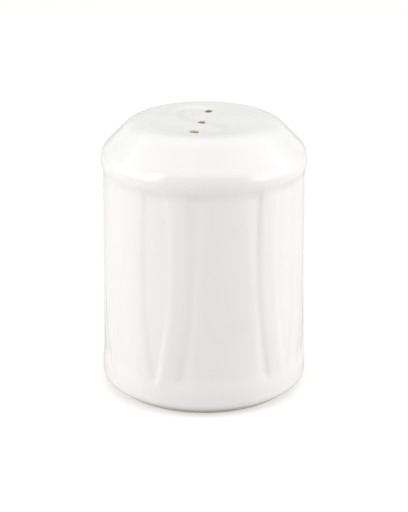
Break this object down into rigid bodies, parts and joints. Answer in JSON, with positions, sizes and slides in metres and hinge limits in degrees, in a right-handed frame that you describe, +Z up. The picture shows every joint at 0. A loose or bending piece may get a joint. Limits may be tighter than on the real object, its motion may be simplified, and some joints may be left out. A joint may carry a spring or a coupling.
{
  "type": "salt shaker",
  "caption": "White glazed porcelain salt shaker with a curved leaf relief, a cone shoulder, pour holes in a grooved, dished top and a soft pull-out stopper in the base.",
  "frame": {"origin": "centre of the foot ring's underside, where the shaker stands", "axes": "+Z up along the shaker's axis, -Y towards the front wide panel, +X to its right"},
  "size_m": [0.0546, 0.0546, 0.0726],
  "materials": {
    "glazed_porcelain": "white glossy glaze, bare matt rim on the foot ring",
    "soft_stopper": "soft moulded satin plug, milky"
  },
  "bodies": {
    "shaker": {"shaker_body": "glazed_porcelain"},
    "stopper": {"base_stopper": "soft_stopper"}
  },
  "joints": [
    {"name": "stopper_pull", "type": "slide", "parent": "shaker", "child": "stopper", "axis": [0, 0, -1], "range_m": [0, 0.03]}
  ]
}
